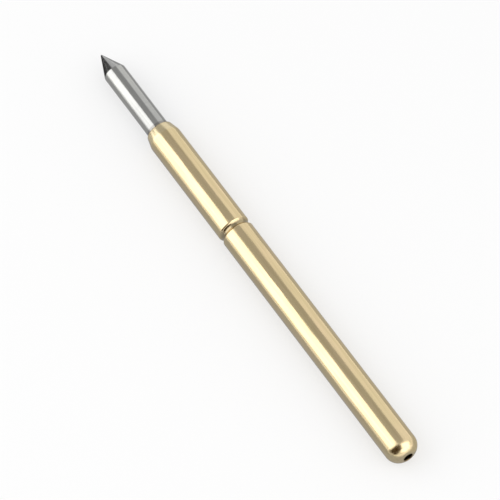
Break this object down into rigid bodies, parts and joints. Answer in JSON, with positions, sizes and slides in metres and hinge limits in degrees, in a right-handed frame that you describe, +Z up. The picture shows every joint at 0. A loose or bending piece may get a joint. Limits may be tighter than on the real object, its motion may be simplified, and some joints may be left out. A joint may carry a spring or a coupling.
{
  "type": "pogo pin",
  "caption": "Spring contact probe: a spear-tipped plunger slides in a closed gold-plated barrel on a coil spring held by one rolled crimp.",
  "frame": {"origin": "on the pin's axis, at the middle of the barrel's plain shank between the swaged mouth and the rounded tail", "axes": "+X along the pin, from the closed tail towards the spear tip; +Z up as the pin lies on its side"},
  "size_m": [0.0166, 0.001, 0.001],
  "materials": {
    "barrel_gold": "bright gold plating on a drawn tube",
    "plunger_plating": "bright silver-grey plating on a turned pin",
    "spring_wire": "drawn spring wire"
  },
  "bodies": {
    "barrel": {"barrel": "barrel_gold", "spring": "spring_wire"},
    "plunger": {"plunger": "plunger_plating"}
  },
  "joints": [
    {"name": "plunger_travel", "type": "slide", "parent": "barrel", "child": "plunger", "axis": [-1, 0, 0], "range_m": [0, 0.00265], "stiffness_N_per_m": 354, "springref_m": -0.00097, "deforming": ["spring"]}
  ]
}
